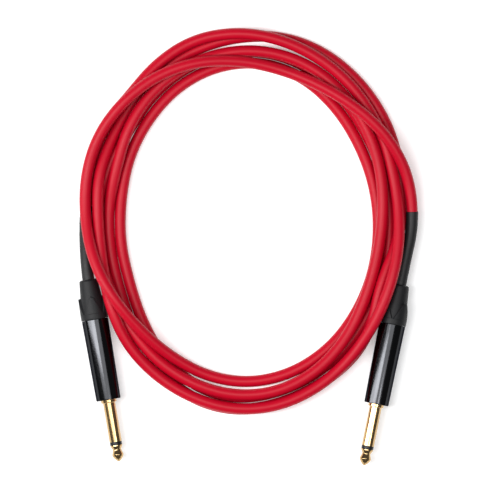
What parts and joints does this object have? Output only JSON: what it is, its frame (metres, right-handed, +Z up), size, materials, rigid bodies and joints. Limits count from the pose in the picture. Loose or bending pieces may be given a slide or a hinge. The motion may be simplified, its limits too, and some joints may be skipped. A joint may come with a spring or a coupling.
{
  "type": "instrument cable",
  "caption": "Coiled red audio cable with a straight quarter-inch phone plug on each end, metal shells and screw-on boots.",
  "frame": {"origin": "on the surface that the cable lies on, below the middle of the box around the two plugs with their heat-shrink sleeves", "axes": "+Z up from that surface; +X from the left plug to the right plug; the plug tips point towards -Y"},
  "size_m": [0.175, 0.2246, 0.0217],
  "materials": {
    "red_jacket": "smooth extruded jacket with a soft sheen",
    "heat_shrink_black": "matte shrunk tubing",
    "charcoal_boot": "fine moulded texture",
    "black_chrome": "polished dark chrome plating",
    "gold_plate": "polished gold plating",
    "black_moulding": "smooth moulded",
    "liner_film": "translucent insulating film",
    "core_white": "extruded insulation",
    "copper_wire": "bare stranded copper",
    "solder": "set solder"
  },
  "bodies": {
    "cable_and_plugs": {"cable_coil": "red_jacket", "tip_contact_left": "gold_plate", "tip_insulator_left": "black_moulding", "sleeve_contact_left": "gold_plate", "rear_insulator_left": "black_moulding", "tip_terminal_left": "gold_plate", "ground_lug_left": "gold_plate", "shell_liner_left": "liner_film", "shell_left": "black_chrome", "core_insulation_left": "core_white", "centre_conductor_left": "copper_wire", "shield_pigtail_left": "copper_wire", "tip_solder_left": "solder", "ground_solder_left": "solder", "cable_tail_left": "red_jacket", "heat_shrink_left": "heat_shrink_black", "tip_contact_right": "gold_plate", "tip_insulator_right": "black_moulding", "sleeve_contact_right": "gold_plate", "rear_insulator_right": "black_moulding", "tip_terminal_right": "gold_plate", "ground_lug_right": "gold_plate", "shell_liner_right": "liner_film", "shell_right": "black_chrome", "core_insulation_right": "core_white", "centre_conductor_right": "copper_wire", "shield_pigtail_right": "copper_wire", "tip_solder_right": "solder", "ground_solder_right": "solder", "cable_tail_right": "red_jacket", "heat_shrink_right": "heat_shrink_black"},
    "chuck_left": {"cable_chuck_left": "black_moulding"},
    "boot_left": {"boot_left": "charcoal_boot"},
    "chuck_right": {"cable_chuck_right": "black_moulding"},
    "boot_right": {"boot_right": "charcoal_boot"}
  },
  "joints": [
    {"name": "boot_travel_left", "type": "slide", "parent": "cable_and_plugs", "child": "chuck_left", "axis": [-0.1676, 0.9859, 0], "range_m": [0, 0.004]},
    {"name": "boot_turn_left", "type": "hinge", "parent": "chuck_left", "child": "boot_left", "pos_m": [-0.08132, 0.02866, 0.007], "axis": [-0.1676, 0.9859, 0], "range_deg": [0, 1441]},
    {"name": "boot_travel_right", "type": "slide", "parent": "cable_and_plugs", "child": "chuck_right", "axis": [0.1968, 0.9804, 0], "range_m": [0, 0.004]},
    {"name": "boot_turn_right", "type": "hinge", "parent": "chuck_right", "child": "boot_right", "pos_m": [0.07874, 0.0261, 0.007], "axis": [0.1968, 0.9804, 0], "range_deg": [0, 1441]}
  ],
  "couplings": [
    {"joint": "boot_turn_left", "follows": "boot_travel_left", "rad_per_m": 6283.2},
    {"joint": "boot_turn_right", "follows": "boot_travel_right", "rad_per_m": 6283.2}
  ]
}
